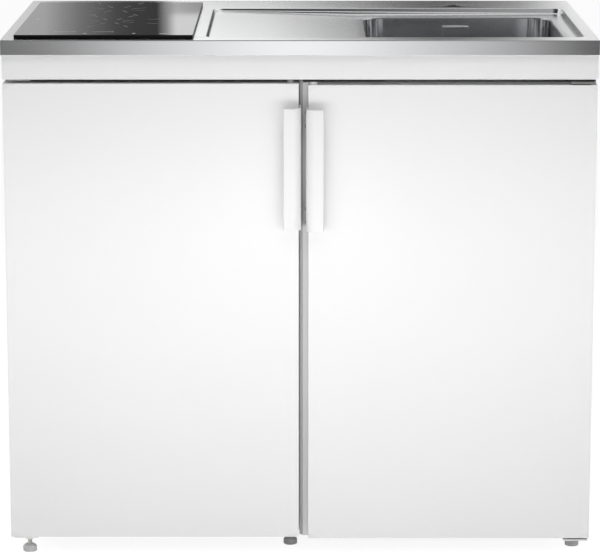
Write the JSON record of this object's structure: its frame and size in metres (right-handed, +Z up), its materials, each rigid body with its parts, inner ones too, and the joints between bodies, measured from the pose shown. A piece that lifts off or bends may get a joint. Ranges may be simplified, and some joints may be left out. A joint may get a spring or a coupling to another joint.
{
  "type": "kitchenette unit",
  "caption": "Kitchenette: steel worktop with pressed drainer sink and glass hob over an undercounter fridge and a sink cabinet with hinged doors.",
  "frame": {"origin": "on the floor, under the middle of the unit's box, handles included", "axes": "front faces -Y, +X to the right seen from the front, +Z up"},
  "size_m": [1, 0.613, 0.906],
  "materials": {
    "stainless_sheet": "satin",
    "stainless_fitting": "polished",
    "white_enamel": "satin",
    "white_plastic": "satin",
    "inner_plastic": "gloss",
    "clear_plastic": "gloss",
    "shelf_glass": "gloss",
    "hob_glass": "gloss",
    "galvanised": "satin",
    "zinc_plated": "satin",
    "evaporator": "satin",
    "black_enamel": "satin",
    "foam": "matte",
    "gasket_rubber": "matte",
    "grey_plastic": "matte",
    "pipe_plastic": "satin"
  },
  "bodies": {
    "unit": {"worktop": "stainless_sheet", "sink_bowl": "stainless_sheet", "fascia_panel": "white_enamel", "frame_side_rails": "galvanised", "frame_rear_rail": "galvanised", "overflow_cover": "stainless_fitting", "overflow_hose": "grey_plastic", "waste_body": "stainless_fitting", "bottle_trap": "pipe_plastic", "trap_cup": "pipe_plastic", "waste_outlet_pipe": "pipe_plastic", "hob_glass": "hob_glass", "hob_tray": "galvanised", "radiant_heaters": "galvanised", "hob_clamps": "galvanised", "fridge_case": "white_enamel", "fridge_back_panel": "galvanised", "fridge_insulation": "foam", "fridge_liner": "inner_plastic", "compressor": "black_enamel", "condenser": "black_enamel", "freezer_box": "evaporator", "glass_shelves": "shelf_glass", "crisper_cover": "shelf_glass", "thermostat_housing": "inner_plastic", "fridge_hinge_upper": "zinc_plated", "fridge_hinge_lower": "zinc_plated", "cabinet_side_left": "white_enamel", "cabinet_side_right": "white_enamel", "cabinet_floor": "white_enamel", "cabinet_back": "white_enamel", "cabinet_shelf": "white_enamel", "cabinet_crossbar": "white_enamel", "magnet_catch": "white_plastic", "cabinet_hinge_upper": "zinc_plated", "cabinet_hinge_lower": "zinc_plated", "fridge_rear_glides": "grey_plastic"},
    "fridge_door": {"fridge_door_panel": "white_enamel", "fridge_door_foam": "foam", "fridge_door_liner": "inner_plastic", "fridge_door_cap_top": "white_plastic", "fridge_door_cap_bottom": "white_plastic", "door_gasket": "gasket_rubber", "door_racks": "clear_plastic", "bottle_rack": "clear_plastic", "fridge_handle": "white_plastic"},
    "cabinet_door": {"cabinet_door_panel": "white_enamel", "cabinet_door_cap_top": "white_plastic", "cabinet_door_cap_bottom": "white_plastic", "cabinet_handle": "white_plastic"},
    "freezer_flap": {"freezer_flap": "clear_plastic"},
    "thermostat_knob": {"thermostat_knob": "grey_plastic"},
    "crisper_drawer": {"crisper_drawer": "clear_plastic"},
    "strainer_basket": {"strainer_basket": "stainless_fitting"},
    "foot_fridge_hinge": {"foot_fridge_hinge": "grey_plastic"},
    "foot_fridge_inner": {"foot_fridge_inner": "grey_plastic"},
    "foot_cabinet_hinge": {"foot_cabinet_hinge": "grey_plastic"},
    "foot_cabinet_inner": {"foot_cabinet_inner": "grey_plastic"},
    "foot_cabinet_rear_left": {"foot_cabinet_rear_left": "grey_plastic"},
    "foot_cabinet_rear_right": {"foot_cabinet_rear_right": "grey_plastic"}
  },
  "joints": [
    {"name": "fridge_door_hinge", "type": "hinge", "parent": "unit", "child": "fridge_door", "pos_m": [-0.484, -0.2545, 0.43], "axis": [0, 0, -1], "range_deg": [0, 105]},
    {"name": "cabinet_door_hinge", "type": "hinge", "parent": "unit", "child": "cabinet_door", "pos_m": [0.489, -0.2685, 0.43], "axis": [0, 0, 1], "range_deg": [0, 105]},
    {"name": "freezer_flap_hinge", "type": "hinge", "parent": "unit", "child": "freezer_flap", "pos_m": [-0.248, -0.0808, 0.6652], "axis": [1, 0, 0], "range_deg": [0, 90]},
    {"name": "thermostat_turn", "type": "hinge", "parent": "unit", "child": "thermostat_knob", "pos_m": [-0.075, -0.0095, 0.5932], "axis": [-1, 0, 0], "range_deg": [0, 270]},
    {"name": "crisper_slide", "type": "slide", "parent": "unit", "child": "crisper_drawer", "axis": [0, -1, 0], "range_m": [0, 0.12]},
    {"name": "strainer_lift", "type": "slide", "parent": "unit", "child": "strainer_basket", "axis": [0, 0, 1], "range_m": [0, 0.06]},
    {"name": "fridge_hinge_foot_screw", "type": "slide", "parent": "unit", "child": "foot_fridge_hinge", "axis": [0, 0, -1], "range_m": [0, 0.006]},
    {"name": "fridge_inner_foot_screw", "type": "slide", "parent": "unit", "child": "foot_fridge_inner", "axis": [0, 0, -1], "range_m": [0, 0.006]},
    {"name": "cabinet_hinge_foot_screw", "type": "slide", "parent": "unit", "child": "foot_cabinet_hinge", "axis": [0, 0, -1], "range_m": [0, 0.006]},
    {"name": "cabinet_inner_foot_screw", "type": "slide", "parent": "unit", "child": "foot_cabinet_inner", "axis": [0, 0, -1], "range_m": [0, 0.006]},
    {"name": "cabinet_rear_left_foot_screw", "type": "slide", "parent": "unit", "child": "foot_cabinet_rear_left", "axis": [0, 0, -1], "range_m": [0, 0.006]},
    {"name": "cabinet_rear_right_foot_screw", "type": "slide", "parent": "unit", "child": "foot_cabinet_rear_right", "axis": [0, 0, -1], "range_m": [0, 0.006]}
  ],
  "couplings": [
    {"joint": "crisper_slide", "follows": "fridge_door_hinge", "m_per_rad": 0.06}
  ]
}
